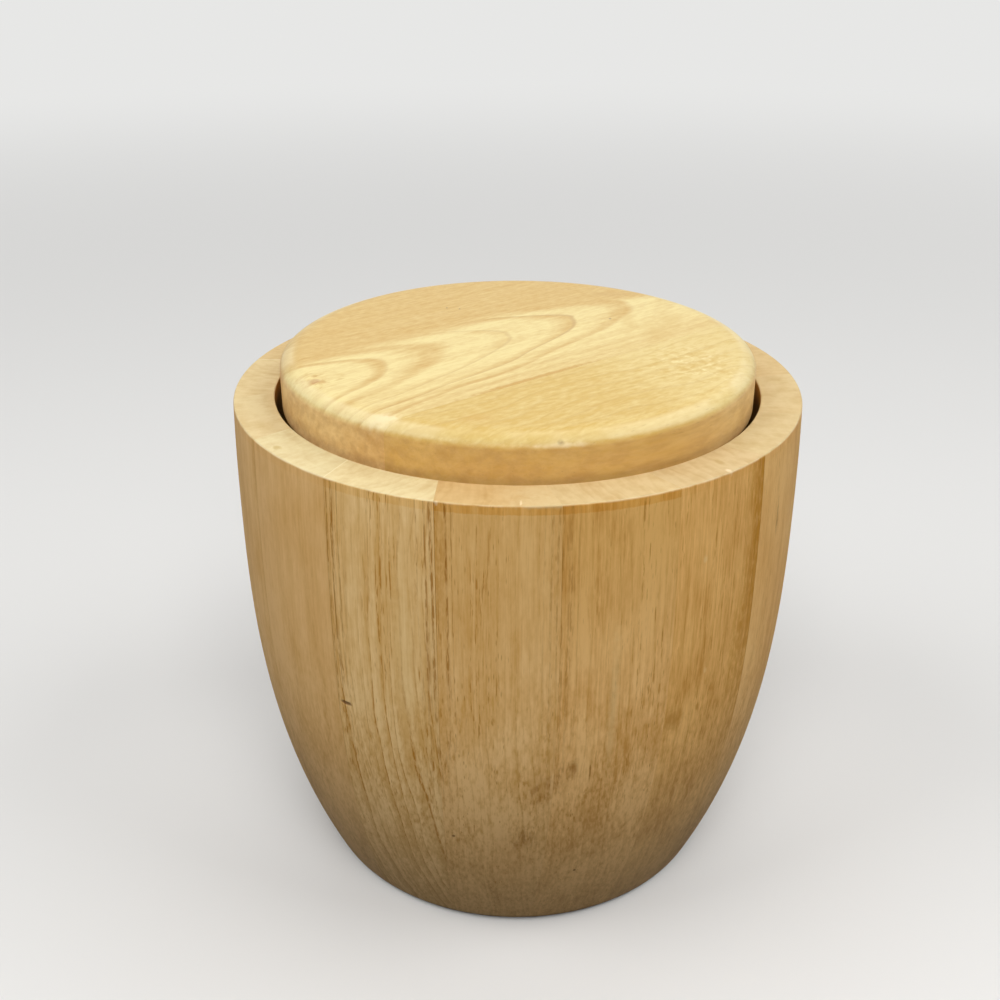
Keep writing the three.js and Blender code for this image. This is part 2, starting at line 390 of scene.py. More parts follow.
def makeStaveWood():
    wall = staveFinish
    tree, given, gives = startGroup("staveWood", staveSockets, {"colour": "colour", "value": "rough height"})
    place = given["place"]
    height = split(tree, place)[2]
    fromRim = calc(tree, "SUBTRACT", given["rimHeight"], height)
    rimTop = fade(tree, fromRim, *wall["rimTop"])
    below = calc(tree, "SUBTRACT", 1, rimTop)
    fibre = use(tree, fibresAndPores, {"place": place, "seed": given["seed"]})

    # the way from the pith, with long waves and short ripples, counted in rings
    slanted = vectorCalc(tree, "MULTIPLY_ADD", given["lean"], height, place)
    fromPith = stretch(tree, vectorCalc(tree, "SUBTRACT", slanted, given["pith"]), (1, 1, 0))
    reach = lengthOf(tree, fromPith)
    for scale, amount in (((0.05, 0.05, 0.008), 9), ((0.12, 0.12, 0.035), 2)):
        reach = scaled(tree, noise(tree, stretch(tree, slanted, scale), 1), amount, reach)
    count = calc(tree, "DIVIDE", reach, given["ringWidth"])
    rings = plainRings(tree, count, given["seed"], wander=1.4, lineShare=0.22)

    # tone from pale to deep, clouded over the whole wall and mottled where it is cut across the fibres
    lower = fade(tree, height, *wall["lower"])
    overWall = stretch(tree, given["spot"], (1, 1, 0.55))
    tone = swing(tree, noise(tree, overWall, 0.06), wall["cloud"], wall["startTone"])
    for part, amount in wall["sway"].items():
        tone = swing(tree, fibre[part], amount, tone)
    mottle = times(tree, calc(tree, "SUBTRACT", fibre["mottle"], 0.5), scaled(tree, lower, 1.2, 0.7))
    tone = scaled(tree, mottle, given["mottle"], tone)
    grown = times(tree, given["rings"], fade(tree, height, *wall["ringsShow"], 0.4))
    tone = scaled(tree, times(tree, rings["late"], grown), wall["late"], tone)
    colour = blend(tree, tone, given["pale"], given["deep"])
    line = times(tree, rings["line"], grown, scaled(tree, fibre["dash"], 0.7, 0.15))
    hair = times(tree, fibre["hair"], given["hairs"])
    crowd = fade(tree, noise(tree, overWall, 0.05), 0.4, 0.62, 0.2)
    fleck = times(tree, fade(tree, fibre["mottle"], 0.52, 0.7), crowd, lower,
                  fade(tree, height, *wall["flecksShow"], 0.2, 0.8), given["pores"])
    for amount in (line, hair, fleck):
        colour = blend(tree, amount, colour, given["ringColour"])

    # deeper wood beside a joint, ragged and strongest towards the rim
    upper = fade(tree, height, *wall["upper"], 0.1)
    ragged = swing(tree, fibre["streak"], 1.8, swing(tree, fibre["patch"], 2.6, 0))
    for side in ("near", "far"):
        share = calc(tree, "ADD", calc(tree, "DIVIDE", given[side + "Seam"], given[side + "Width"]), ragged)
        strip = times(tree, fade(tree, share, 1.1, -0.1), given[side + "Strip"], upper,
                      fade(tree, fibre["mottle"], 0.25, 0.6, 0.45))
        colour = blend(tree, strip, colour, given["stripColour"])

    # the glue line at a joint, and fine broken lines in the wood beside it
    glue = times(tree, fade(tree, given["nearSeam"], *wall["glue"]), given["nearLine"],
                 fade(tree, fibre["fibre"], 0.3, 0.6, 0.25), upper, below)
    colour = blend(tree, glue, colour, given["poreColour"])
    for side in ("near", "far"):
        seam = given[side + "Seam"]
        wavy = calc(tree, "DIVIDE", scaled(tree, fibre["streak"], 6, seam), wall["lineStep"])
        lines = calc(tree, "ABSOLUTE", calc(tree, "SUBTRACT", calc(tree, "FRACT", wavy), 0.5))
        lines = times(tree, fade(tree, lines, 0.3, 0.06), fade(tree, seam, *wall["linesShow"]),
                      scaled(tree, fibre["dash"], 0.75, 0.25), given[side + "Lines"], upper, below)
        colour = blend(tree, lines, colour, given["poreColour"])

    # honey tone towards the rim, painted shade towards the foot, and painted shade on the inside wall
    honey = times(tree, fade(tree, fromRim, *wall["honeyShows"]), given["honey"])
    colour = blend(tree, honey, colour, wall["honeyTint"], "MULTIPLY")
    # darker towards the foot: painted shade
    grime = times(tree, fade(tree, height, *wall["footShadeShows"]), given["grime"])
    colour = blend(tree, grime, colour, blend(tree, tone, wall["footShadePale"], wall["footShadeDeep"]))
    # the inside wall below the rim is darkened here as painted shade
    colour = blend(tree, times(tree, given["inside"], below), colour, wall["insideShade"], "MULTIPLY")

    # end grain on the rim, smooth and clouded, and the deeper band under its outer edge
    onRim = stretch(tree, place, (1, 1, 0))
    cloud = noise(tree, vectorCalc(tree, "MULTIPLY_ADD", given["seed"], (13, 7, 0), onRim), 0.14, 3, 0.6)
    radial = noise(tree, stretch(tree, onRim, (1, 0.2, 0)), 0.7)
    late = times(tree, rings["late"], calc(tree, "MINIMUM", given["rings"], 0.5))
    endTone = swing(tree, cloud, 2.2, swing(tree, radial, 0.7, scaled(tree, late, 0.6, 0.2)))
    endDeep = blend(tree, 1, given["endGrain"], wall["endTint"], "MULTIPLY")
    onTop = blend(tree, endTone, given["endGrain"], endDeep)
    rimGlue = times(tree, fade(tree, given["nearSeam"], *wall["rimGlueWidth"]), given["rimLine"])
    onTop = blend(tree, rimGlue, onTop, wall["rimGlue"])
    colour = blend(tree, rimTop, colour, onTop)
    band = fade(tree, scaled(tree, fibre["mottle"], 0.8, fromRim), *wall["bandShows"])
    band = times(tree, band, below, given["band"], fade(tree, fibre["streak"], 0.25, 0.6, 0.5))
    colour = blend(tree, band, colour, given["edgeBand"], "MULTIPLY")

    # the rim's edges are painted pale: partly rubbed wear, partly a painted highlight along the arrises
    wearAndSheen = times(tree, fade(tree, fromRim, *wall["wearAndSheenEnd"]), fade(tree, fromRim, *wall["wearAndSheenStart"]),
                   fade(tree, noise(tree, given["spot"], 0.18), 0.38, 0.6, 0.05, 0.35))
    colour = blend(tree, wearAndSheen, colour, wall["wearAndSheen"])

    # pores
    pore = times(tree, fibre["pore"], given["pores"],
                 scaled(tree, rimTop, -0.8, scaled(tree, lower, 0.5, 1)))
    colour = blend(tree, pore, colour, given["poreColour"])
    rough = scaled(tree, pore, 0.2, scaled(tree, fibre["fibre"], 0.16, 0.38))
    raised = scaled(tree, pore, -0.6, times(tree, fibre["fibre"], 0.35))
    wire(tree, gives, {"colour": colour, "rough": rough, "height": raised})
    return tree


staveWood = makeStaveWood()
print("finishes: shared node groups ready")

# Staves

ring = dict(
    height=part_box("stave_01")[1].z / mm, rimRadius=100, bellyRadius=cadBox[1].x / mm, bellyDrop=33,
    footRadius=74.4, bellyPower=2.7, wall=14.2, footEase=4, chimeEase=1.5, rimEase=0.6,
    staves=16, firstJoint=math.radians(7.7), widthDrift=0.034, glueLine=0.02,
    wallSteps=44, wallSpread=1.3, innerSteps=24, easeSteps=8, turnSteps=288,
    insideShare=0.6, seedStep=1.37,
)
base = dict(
    lift=5, thickness=12, tongue=7, tongueDepth=4, play=0.3, ease=0.6, easeSteps=4,
    turnSteps=192, pale=(0.79, 0.54, 0.26, 1), deep=(0.58, 0.33, 0.11, 1), pore=(0.22, 0.11, 0.04, 1),
    seed=9.2, ringSeed=4, ringWidth=6, waver=30,
)


def wallRadius(height):
    belly = ring["height"] - ring["bellyDrop"]
    if height < belly:
        swell = ring["bellyRadius"] - ring["footRadius"]
        return ring["bellyRadius"] - swell * (1 - height / belly) ** ring["bellyPower"]
    drawnIn = ring["bellyRadius"] - ring["rimRadius"]
    return ring["bellyRadius"] - drawnIn * ((height - belly) / ring["bellyDrop"]) ** 2


def cavityRadius(height):
    return wallRadius(height) - ring["wall"]


tongueLow = base["lift"] + (base["thickness"] - base["tongue"]) / 2
tongueHigh = tongueLow + base["tongue"]
tongueRadius = cavityRadius(tongueHigh) + base["tongueDepth"]
mouthRadius = cavityRadius(ring["height"])


def ringSection():
    top, ease, foot, chime = ring["height"], ring["rimEase"], ring["footEase"], ring["chimeEase"]
    rim, steps, fine = ring["rimRadius"], ring["wallSteps"], ring["easeSteps"]
    grooveLow, grooveHigh = tongueLow - base["play"], tongueHigh + base["play"]
    grooveRadius = tongueRadius + base["play"]
    outer = [foot + (top - ease - foot) * (step / steps) ** ring["wallSpread"] for step in range(1, steps)]
    inner = [grooveHigh + (top - ease - grooveHigh) * (1 - step / ring["innerSteps"])
             for step in range(1, ring["innerSteps"] + 1)]
    section = eased((ring["footRadius"] - foot, 0), (ring["footRadius"], 0), (wallRadius(foot), foot), fine)
    section += [(wallRadius(level), level) for level in outer]
    section += eased((wallRadius(top - ease), top - ease), (rim, top), (rim - ease, top), fine)
    section += [(rim - ring["wall"] / 2, top)]
    section += eased((mouthRadius + ease, top), (mouthRadius, top), (cavityRadius(top - ease), top - ease), fine)
    section += [(cavityRadius(level), level) for level in inner]
    section += [(grooveRadius, grooveHigh), (grooveRadius, grooveLow), (cavityRadius(grooveLow), grooveLow),
                (cavityRadius(chime), chime), (cavityRadius(0) + chime, 0)]
    return section + section[:1]


def jointAt(index):
    # a point of the joint on the rim, the direction across it, and its angle from the front
    pitch = 2 * math.pi / ring["staves"]
    azimuth = ring["firstJoint"] + index * pitch - ring["widthDrift"] * math.sin(index * pitch)
    slant = azimuth + pitch / 2
    onRim = Vector((math.sin(azimuth), -math.cos(azimuth), 0)) * ring["rimRadius"] * mm
    return onRim, Vector((math.cos(slant), math.sin(slant), 0)), azimuth


# Looks of the staves that show, by number. The others take theirs from these in turn.
# A mark lies at X across, Y inwards from the rim and Z up, in mm from the middle of its stave.
staveTone = dict(
    ringColour=(0.48, 0.2, 0.018, 1), poreColour=(0.38, 0.155, 0.015, 1), edgeBand=(0.94, 0.81, 0.54, 1),
    stripColour=(0.56, 0.255, 0.03, 1), lean=(0.01, 0.02, 0), mottle=1, honey=0.2, band=0.5,
    grime=0.8, rimLine=0, nearLine=0.15, nearLines=0, farLines=0, nearStrip=0,
    farStrip=0, nearWidth=2.5, farWidth=2.5, marks=[],
)
stain, darkStain, tanStain = (0.41, 0.18, 0.035, 1), (0.35, 0.17, 0.04, 1), (0.54, 0.26, 0.05, 1)
paleSpot, paleStripe, chip = (0.9, 0.64, 0.29, 1), (0.93, 0.66, 0.3, 1), (0.88, 0.73, 0.46, 1)
dent, pinHole = (0.2, 0.09, 0.03, 1), (0.18, 0.09, 0.03, 1)
staveLooks = {
    14: dict(
        pale=(0.87, 0.55, 0.232, 1), deep=(0.74, 0.425, 0.14, 1), endGrain=(0.75, 0.638, 0.365, 1),
        pith=(50, 130, 0), lean=(0.12, 0.02, 0), ringWidth=9, rings=0.3, pores=0.12,
        hairs=0.12, honey=0, band=0.2, grime=0.9,
        # this mark is a painted shade on the rim top
        marks=[spotAt((-8.7, 3.8, 183), (2.2, 2, 2), 0.7, 0.5, (0.5, 0.33, 0.09, 1))]),
    15: dict(
        pale=(0.95, 0.66, 0.305, 1), deep=(0.75, 0.445, 0.145, 1), endGrain=(0.757, 0.628, 0.349, 1),
        pith=(-82, 57, 0), ringWidth=3.2, rings=1.4, pores=0.45, hairs=0.8, nearLine=0.8,
        nearLines=0.8, farLines=0.8, nearStrip=0.3, nearWidth=6, farStrip=0.25, farWidth=5,
        honey=0, band=0.6, rimLine=0.6, grime=0.72,
        marks=[wallSpot(-15.6, 101.5, 2.9, 1.1, 0.6, 0.85, dent, depth=4),
               wallSpot(8, 130, 5.5, 48, 0.9, 0.4, paleStripe),
               wallSpot(16.5, 125, 1.6, 32, 0.8, 0.3, stain, 0.6)]),
    16: dict(
        pale=(0.94, 0.61, 0.262, 1), deep=(0.735, 0.41, 0.121, 1), endGrain=(0.661, 0.453, 0.204, 1),
        pith=(-150, 25, 0), ringWidth=2.6, rings=0.65, pores=0.55, hairs=0.8, nearLine=0.3,
        nearLines=1, nearStrip=0.55, nearWidth=5, farLines=0.4, farStrip=0.25, farWidth=3.5,
        honey=0.65, band=1,
        marks=[wallSpot(8.1, 53.5, 6, 9, 0.9, 0.8, darkStain, 0.75),
               wallSpot(14.5, 77, 6.5, 11, 0.9, 0.75, stain, 0.7),
               wallSpot(4, 42, 13, 24, 0.9, 0.35, stain, 0.6),
               wallSpot(-15.7, 52.8, 0.7, 0.7, 0.5, 0.8, pinHole),
               spotAt((-3.8, 6, 183), (1.4, 4.5, 2), 0.8, 0.5, (0.5, 0.29, 0.09, 1)),
               spotAt((19, 7, 183.8), (24, 40, 2.6), 0.9, 1, (0.69, 0.522, 0.268, 1)),
               spotAt((-18, 1, 182.8), (0.9, 1.6, 1.5), 0.8, 0.7, chip),
               spotAt((6.7, 2, 182.8), (0.5, 2.2, 1.5), 0.8, 0.6, chip)]),
    1: dict(
        pale=(0.96, 0.6, 0.24, 1), deep=(0.68, 0.345, 0.086, 1), endGrain=(0.682, 0.512, 0.262, 1),
        pith=(160, 30, 0), lean=(0.02, 0.01, 0), ringWidth=2.8, rings=0.5, pores=0.5, hairs=0.6,
        mottle=0.85, nearLines=0.5, nearStrip=0.12, nearWidth=6, honey=1, band=1,
        marks=[wallSpot(-12.6, 86.5, 2.1, 6, 0.9, 0.9, stain, 0.3),
               wallSpot(-17, 82, 4.5, 10, 0.9, 0.75, stain, 0.8),
               wallSpot(-6.9, 84, 0.5, 5, 0.6, 0.8, stain),
               wallSpot(-7.1, 33.4, 0.6, 0.6, 0.5, 0.8, pinHole),
               wallSpot(-0.8, 110, 2.4, 40, 1, 0.5, paleSpot)]),
    2: dict(
        pale=(0.93, 0.555, 0.19, 1), deep=(0.62, 0.298, 0.062, 1), endGrain=(0.655, 0.49, 0.255, 1),
        pith=(140, -10, 0), lean=(-0.02, 0.02, 0), ringWidth=4, rings=0.55, pores=0.28,
        hairs=0.6, mottle=0.6, nearLine=0.05, farLines=0.3, farStrip=1, farWidth=13,
        honey=0, band=0.2, grime=0.9,
        marks=[wallSpot(-15.6, 97.4, 5.5, 7, 0.8, 0.75, tanStain, 0.2),
               wallSpot(-8.1, 156, 1.2, 1.8, 0.8, 0.5, paleSpot),
               wallSpot(-3.7, 113, 1, 1.6, 0.8, 0.5, paleSpot),
               spotAt((3.6, 7, 183), (1.7, 4, 2), 0.8, 0.5, (0.46, 0.27, 0.08, 1)),
               spotAt((1, 1.2, 182.6), (1.4, 1.8, 2), 0.8, 0.7, chip)]),
    3: dict(
        pale=(0.95, 0.59, 0.225, 1), deep=(0.77, 0.405, 0.115, 1), endGrain=(0.66, 0.51, 0.265, 1),
        pith=(90, 60, 0), lean=(-0.06, 0, 0), ringWidth=6, rings=0.35, pores=0.25, hairs=0.3,
        nearLine=0.08, band=0.2, grime=0.9,
        marks=[wallSpot(-6, 156, 1.1, 9, 0.8, 0.7, stain, 0.3)]),
}
# tones that the other staves draw nearer to, and how far
middleTones = {"pale": (staveLooks[16]["pale"], 0.5), "deep": (staveLooks[16]["deep"], 0.5),
               "endGrain": ((0.69, 0.53, 0.275, 1), 0.7)}


def quieterLook(number):
    look = dict(staveLooks[number], marks=[], farStrip=0.4, grime=0.8)
    for tone, (middle, share) in middleTones.items():
        look[tone] = tuple(own + (other - own) * share for own, other in zip(look[tone], middle))
    return look


otherLooks = [quieterLook(number) for number in (15, 14, 1, 2, 3, 16)]
staveAttributes = ("nearSeam", "farSeam", "inside")


def staveMaterial(number, name, azimuth):
    look = dict(staveTone, **staveLooks.get(number, otherLooks[number % len(otherLooks)]))
    marks = look.pop("marks")
    material, tree, shader = startMaterial(name + "Wood")
    spot = objectSpot(tree)
    place = mapped(tree, spot, (0, 0, -azimuth), (0, ring["rimRadius"], 0))
    look.update(place=place, spot=stretch(tree, spot, perMm), rimHeight=ring["height"],
                seed=number * ring["seedStep"])
    for attribute in staveAttributes:
        look[attribute] = put(tree, "Attribute", attribute_name=attribute).outputs["Fac"]
    wood = use(tree, staveWood, look)
    colour, height = wood["colour"], wood["height"]
    for spotMark in marks:
        mask = markMask(tree, place, spotMark)
        colour = blend(tree, mask, colour, spotMark["colour"])
        height = scaled(tree, mask, -spotMark["depth"], height)
    finishWood(tree, shader, colour, wood["rough"], height, **wallOil)
    return material


def buildStaves():
    pattern = turnPiece("staveRing", ringSection(), ring["turnSteps"])
    half = ring["glueLine"] / 2 * mm
    for index in range(ring["staves"]):
        name = "stave_{:02d}".format(index + 1)
        nearPoint, nearAcross, nearAzimuth = jointAt(index)
        farPoint, farAcross, farAzimuth = jointAt(index + 1)
        nearPoint, farPoint = nearPoint + nearAcross * half, farPoint - farAcross * half
        stave = copyPiece(pattern, name + ".turned")
        cutPiece(stave, [(nearPoint, -nearAcross), (farPoint, farAcross)])
        # each corner's way to both joints in mm, and whether it is on the inside
        corners = [corner.co for corner in stave.data.vertices]
        near = [abs((corner - nearPoint).dot(nearAcross)) / mm for corner in corners]
        far = [abs((corner - farPoint).dot(farAcross)) / mm for corner in corners]
        inside = [float(corner.xy.length / mm < wallRadius(corner.z / mm) - ring["wall"] * ring["insideShare"])
                  for corner in corners]
        for attribute, values in zip(staveAttributes, (near, far, inside)):
            stave.data.attributes.new(attribute, "FLOAT", "POINT").data.foreach_set("value", values)
        smoothPiece(stave, woodAngle)
        material = staveMaterial(index + 1, name, (nearAzimuth + farAzimuth) / 2)
        seatPiece(stave, "bucket", name, material)
    bpy.data.objects.remove(pattern)
    print("staves: {} cut from one turned ring".format(ring["staves"]))


buildStaves()

# Base disc: its grain runs from front to back


def baseMaterial():
    material, tree, shader = startMaterial("baseWood")
    place = mapped(tree, objectSpot(tree), (math.radians(90), 0, 0))
    fibre = use(tree, fibresAndPores, {"place": place, "seed": base["seed"]})
    count = scaled(tree, fibre["patch"], base["waver"], split(tree, place)[0])
    count = calc(tree, "DIVIDE", count, base["ringWidth"])
    rings = plainRings(tree, count, base["ringSeed"])
    tone = scaled(tree, rings["late"], 0.4, times(tree, fibre["streak"], 0.7))
    colour = blend(tree, tone, base["pale"], base["deep"])
    colour = blend(tree, times(tree, fibre["pore"], 0.6), colour, base["pore"])
    rough = scaled(tree, fibre["fibre"], 0.16, 0.38)
    height = calc(tree, "SUBTRACT", times(tree, fibre["fibre"], 0.5), fibre["pore"])
    finishWood(tree, shader, colour, rough, height, **wallOil)
    return material


def buildBase():
    low, high = base["lift"], base["lift"] + base["thickness"]
    ease, steps = base["ease"], base["easeSteps"]
    lowShoulder, highShoulder = cavityRadius(low) - base["play"], cavityRadius(tongueHigh) - base["play"]

    def upwards(radius, level):
        return eased((radius - ease, level), (radius, level), (radius, level + ease), steps)

    def inwards(radius, level):
        return eased((radius, level - ease), (radius, level), (radius - ease, level), steps)

    section = [(0, low), (lowShoulder / 2, low)] + upwards(lowShoulder, low) + [(lowShoulder, tongueLow)]
    section += upwards(tongueRadius, tongueLow) + inwards(tongueRadius, tongueHigh) + [(highShoulder, tongueHigh)]
    section += inwards(highShoulder, high) + [(highShoulder / 2, high), (0, high)]
    disc = turnPiece("base_disc.turned", section, base["turnSteps"])
    smoothPiece(disc, woodAngle)
    seatPiece(disc, "bucket", "base_disc", baseMaterial())
    print("base disc turned")


buildBase()

# Liner: spun steel with fine marks round the axis

linerLow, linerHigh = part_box("liner")
cup = dict(
    floor=linerLow.z / mm, top=linerHigh.z / mm, gap=4, wall=0.8, corner=10, bead=1.6,
    cornerSteps=12, beadSteps=24, turnSteps=224,
    colour=(0.36, 0.358, 0.352, 1), shine=(0.56, 0.557, 0.55, 1), rough=0.16, markScale=3200,
    turnShare=0.001,
)


def linerMaterial():
    material, tree, shader = startMaterial("linerSteel")
    spot = objectSpot(tree)
    x, y, z = split(tree, spot)
    radius = calc(tree, "SQRT", calc(tree, "ADD", times(tree, x, x), times(tree, y, y)))
    turn = times(tree, calc(tree, "ARCTAN2", y, x), cup["turnShare"])
    around = put(tree, "CombineXYZ", {0: radius, 1: z, 2: turn}).outputs[0]
    marks = noise(tree, around, cup["markScale"], 2, 0.6)
    rough = scaled(tree, marks, 0.14, scaled(tree, noise(tree, spot, 28), 0.1, cup["rough"]))
    bump = put(tree, "Bump", {"Height": marks, "Strength": 0.25, "Distance": 0.02 * mm}).outputs[0]
    colour = blend(tree, fade(tree, marks, 0.2, 0.8), cup["colour"], cup["shine"])
    wire(tree, shader, {"Base Color": colour, "Roughness": rough, "Normal": bump, "Metallic": 1,
                        "Anisotropic": 0.6})
    return material


def buildLiner():
    floor, top, wall, corner, bead = cup["floor"], cup["top"], cup["wall"], cup["corner"], cup["bead"]
    mouth = mouthRadius - cup["gap"] - 2 * bead
    foot = cavityRadius(floor) - cup["gap"]
    taper = math.atan2(mouth + wall - foot, top - floor)
    middle = (foot + corner * (math.tan(taper) - 1 / math.cos(taper)), floor + corner)
    beadStart = -math.acos((wall - bead) / bead)
    outside = arc(middle, corner, -math.pi / 2, -taper, cup["cornerSteps"])
    rolled = arc((mouth + bead, top - bead), bead, beadStart, math.pi, cup["beadSteps"])
    inside = arc(middle, corner - wall, -taper, -math.pi / 2, cup["cornerSteps"])
    section = [(0, floor), (middle[0] / 2, floor)] + outside + straight(outside[-1], rolled[0]) + rolled
    section += straight(rolled[-1], inside[0]) + inside + [(middle[0] / 2, floor + wall), (0, floor + wall)]
    liner = turnPiece("liner.spun", section, cup["turnSteps"])
    smoothPiece(liner, steelAngle)
    seatPiece(liner, "liner", "liner", linerMaterial())
    print("liner spun")


buildLiner()

# Lid: two boards glued along the grain, then turned. Its marks lie at X, Y and Z of the part, in mm.

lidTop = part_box("lid_board_wide")[1].z / mm
lidDrop, lidJoint = 4, 31
# the pale edge colour stands partly for wear and partly for a painted sheen
lidWearAndSheen, lidTan, lidPrick = (0.86, 0.74, 0.44, 1), (0.56, 0.34, 0.075, 1), (0.22, 0.115, 0.045, 1)
lid = dict(
    underside=ring["height"] - lidDrop, gap=2.4, edgeReach=9, edgeDrop=4.5, edgeSteps=16,
    lowerEase=1, lowerSteps=7, plugDepth=6, plugClearance=1.5, plugEase=1, plugSteps=5,
    turnSteps=256, grain=math.radians(39), glueLine=0.06,
    pale=(0.771, 0.627, 0.27, 1), deep=(0.55, 0.325, 0.072, 1), line=(0.42, 0.23, 0.066, 1),
    narrowPale=(0.706, 0.544, 0.21, 1), narrowDeep=(0.592, 0.388, 0.086, 1), cream=(0.81, 0.68, 0.33, 1),
    wideSide=(1.15, 0.99, 1, 1), narrowSide=(1.18, 1.05, 1.12, 1), pore=(0.3, 0.15, 0.055, 1),
    # depths under the top between which the turned side and the pale edge, partly wear and partly painted sheen,
    # come in
    sideShows=(2.2, 4.6), wearAndSheenStart=(0.15, 0.8), wearAndSheenEnd=(3.3, 2.1),
    eyeFlecks=spotAt((-66, -37, lidTop), (13, 11, 40), 0.9, 0.8),
    glueStain=spotAt((0.8 - lidJoint, lidTop, -17), (1.7, 20, 36), 0.8, 0.7),
    palePatch=spotAt((59, -20, lidTop), (24, 25, 40), 0.9, 1),
    wideMarks=[
        spotAt((-66.5, -38, lidTop), (3.4, 2.8, 6), 0.8, 0.6, (0.46, 0.22, 0.075, 1)),
        spotAt((-42, -68.4, 196.5), (9, 5, 5), 0.9, 0.75, lidWearAndSheen),
        spotAt((41, 26, lidTop), (4.5, 22, 6), 0.9, 0.3, lidTan),
        spotAt((56, 27, lidTop), (7.5, 18, 6), 1, 0.34, lidTan),
        spotAt((50, 12, lidTop), (7.5, 18, 6), 1, 0.34, lidTan),
        spotAt((36, 59, lidTop), (11, 5, 6), 0.9, 0.4, (0.52, 0.31, 0.085, 1)),
        spotAt((-27, 40.5, lidTop), (0.5, 0.9, 3), 0.5, 0.6, lidPrick),
        spotAt((-22.1, 39.3, lidTop), (0.5, 0.9, 3), 0.5, 0.6, lidPrick),
        spotAt((34.4, 28.3, lidTop), (0.6, 0.9, 3), 0.5, 0.6, lidPrick)],
    narrowMarks=[
        # the first mark is a painted highlight along the front of the rounded edge
        spotAt((12, -81, 194.2), (15, 3.5, 1.1), 0.8, 0.35, (0.93, 0.82, 0.56, 1)),
        spotAt((-42, -69, 196.5), (10, 5, 5), 0.9, 0.5, lidWearAndSheen),
        spotAt((13.2, -82.3, 195.4), (1.7, 2, 1.6), 0.7, 0.7, (0.21, 0.1, 0.035, 1)),
        spotAt((-12.3, -68.8, lidTop), (9, 5, 6), 0.9, 0.4, (0.57, 0.33, 0.06, 1))],
)


def lidFinish(tree, shader, place, rings, fibre, spot, look):
    below = calc(tree, "SUBTRACT", lidTop, split(tree, spot)[2])
    side = fade(tree, below, *lid["sideShows"])
    quiet = scaled(tree, side, -0.8, 1)  # the figure hardly shows on the turned side
    tone = swing(tree, fibre["streak"], look["grainy"], 0.12)
    tone = swing(tree, fibre["fibre"], look["fibre"], tone)
    mottle = times(tree, calc(tree, "SUBTRACT", fibre["mottle"], 0.5), quiet)
    tone = scaled(tree, mottle, look["mottle"], tone)
    tone = scaled(tree, times(tree, rings["late"], look["tan"], quiet), 0.9, tone)
    tone = scaled(tree, look["streaks"], quiet, calc(tree, "ADD", tone, look["extra"]))
    colour = blend(tree, tone, look["pale"], look["deep"])
    colour = blend(tree, times(tree, rings["line"], look["line"], quiet, 0.45), colour, lid["line"])
    curl = noise(tree, stretch(tree, place, (0.3, 0.3, 0.07)), 1, 3, 0.55)
    colour = blend(tree, times(tree, fade(tree, curl, 0.35, 0.7), side, 0.36), colour, lid["line"])
    colour = blend(tree, side, colour, look["side"], "MULTIPLY")
    # the rounded edge is painted pale all round: partly rubbed wear, partly a painted sheen
    wearAndSheen = times(tree, fade(tree, below, *lid["wearAndSheenStart"]), fade(tree, below, *lid["wearAndSheenEnd"]),
                   fade(tree, noise(tree, spot, 0.05), 0.35, 0.6, 0.12, 0.42))
    colour = blend(tree, wearAndSheen, colour, lidWearAndSheen)
    colour = blend(tree, times(tree, fibre["pore"], 0.2), colour, lid["pore"])
    for lidMark in look["marks"]:
        colour = blend(tree, markMask(tree, spot, lidMark), colour, lidMark["colour"])
    rough = scaled(tree, fibre["fibre"], 0.14, 0.36)
    raised = calc(tree, "SUBTRACT", times(tree, fibre["fibre"], 0.4), fibre["pore"])
    finishWood(tree, shader, colour, rough, raised, **lidOil)


def lidPlace(tree, spot):
    # mm, with the grain turned to Z
    along, across, up = split(tree, mapped(tree, spot, (0, 0, -lid["grain"])))
    return put(tree, "CombineXYZ", {0: across, 1: up, 2: along}).outputs[0], along, across, up


# The wide board's figure: nested arches that open from an eye near the left edge, counted outwards

arches = dict(
    eye=(-66.9, -36.3), turn=math.radians(38), step=28.9, firstCount=0.2, slope=0.5,
    warp=(9, 6, 0), upperWidth=15.9, upperPower=2, lowerWidth=19.6, lowerPower=2.1,
    lowerLine=(0.11, 0.1), lowerSoft=0.5, innerCounts=(2.9, 1.9, 0, 0.2),
    # how strong the tan and the thin line of each arch are, and where its tan starts and is deepest,
    # as changes at whole counts
    tan=((0, 0.66), (1, -0.04), (2, -0.28), (3, 0.25), (4, 0.05), (5, -0.45), (6, -0.1)),
    line=((0, 0.25), (1, -0.2), (2, 0.5), (3, 0.45), (4, -0.75), (5, -0.25)),
    start=((-9, 0.6), (1, -0.5), (2, 0.6), (3, -0.15), (4, -0.3)),
    peak=((-9, 0.87), (1, -0.2), (2, 0.23), (4, -0.08)),
    # the plain field: where it bends, how steeply, and where it comes in
    fieldBend=95, fieldSlope=0.245, fieldShows=(11, 18.5),
    # how the tan, the line and the fine streaks weaken below the eye, and the tone deepens towards the joint
    tanFades=(8, 34, 1, 0.7), lineFades=(12, 34, 1, 0.7), streaksFade=(5, 20, 0.3, 0.12),
    jointDeepens=(-4, -28, 0, 0.28), seed=2.6, ringSeed=3, streaksPerArch=5,
)
narrow = dict(seed=5.9, ringSeed=1.7, ringWidth=7, waver=26, slope=0.6,
              endPales=(-10, 30, 0.55, -0.06))


def stepped(tree, count, steps, before=0.02, after=0.08):
    strength = 0
    for at, change in steps:
        strength = calc(tree, "ADD", fade(tree, count, at - before, at + after, 0, change), strength)
    return strength


